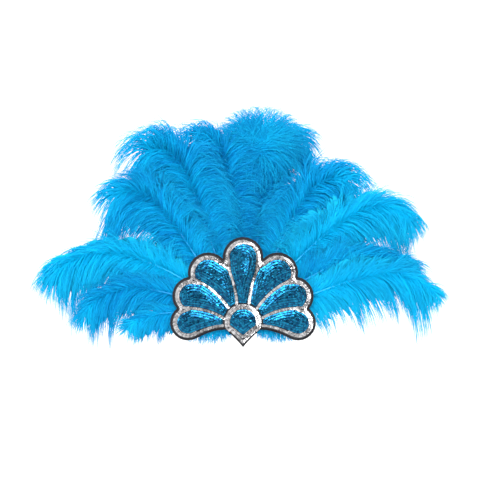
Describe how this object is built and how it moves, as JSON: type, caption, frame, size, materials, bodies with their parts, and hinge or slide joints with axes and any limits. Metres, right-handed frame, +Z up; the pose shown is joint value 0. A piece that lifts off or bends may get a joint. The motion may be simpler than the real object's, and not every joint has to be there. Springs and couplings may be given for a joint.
{
  "type": "feather headdress",
  "caption": "Fan of drooping ostrich plumes behind a scalloped petal sequin applique, on an elastic headband.",
  "frame": {"origin": "middle of the headband's loop at half its height, level with the middle of the boss", "axes": "+Z up as worn, +X to the right as seen from the front, the front faces -Y"},
  "size_m": [0.438, 0.2034, 0.2515],
  "materials": {
    "plume_blue": "matt",
    "felt_black": "matt felt",
    "sequin_silver": "metallised gloss",
    "sequin_turquoise": "metallised gloss",
    "band_elastic": "woven elastic"
  },
  "bodies": {
    "root": {"petal_border": "sequin_silver", "petal_top": "sequin_turquoise", "petal_upper_left": "sequin_turquoise", "petal_upper_right": "sequin_turquoise", "petal_middle_left": "sequin_turquoise", "petal_middle_right": "sequin_turquoise", "petal_lower_left": "sequin_turquoise", "petal_lower_right": "sequin_turquoise", "boss_border": "sequin_silver", "boss_field": "sequin_turquoise", "felt_backing": "felt_black", "plume_01": "plume_blue", "plume_02": "plume_blue", "plume_03": "plume_blue", "plume_04": "plume_blue", "plume_05": "plume_blue", "plume_06": "plume_blue", "plume_07": "plume_blue", "plume_08": "plume_blue", "plume_09": "plume_blue", "plume_10": "plume_blue", "plume_11": "plume_blue", "plume_12": "plume_blue", "headband": "band_elastic", "back_pad": "felt_black"}
  },
  "joints": []
}
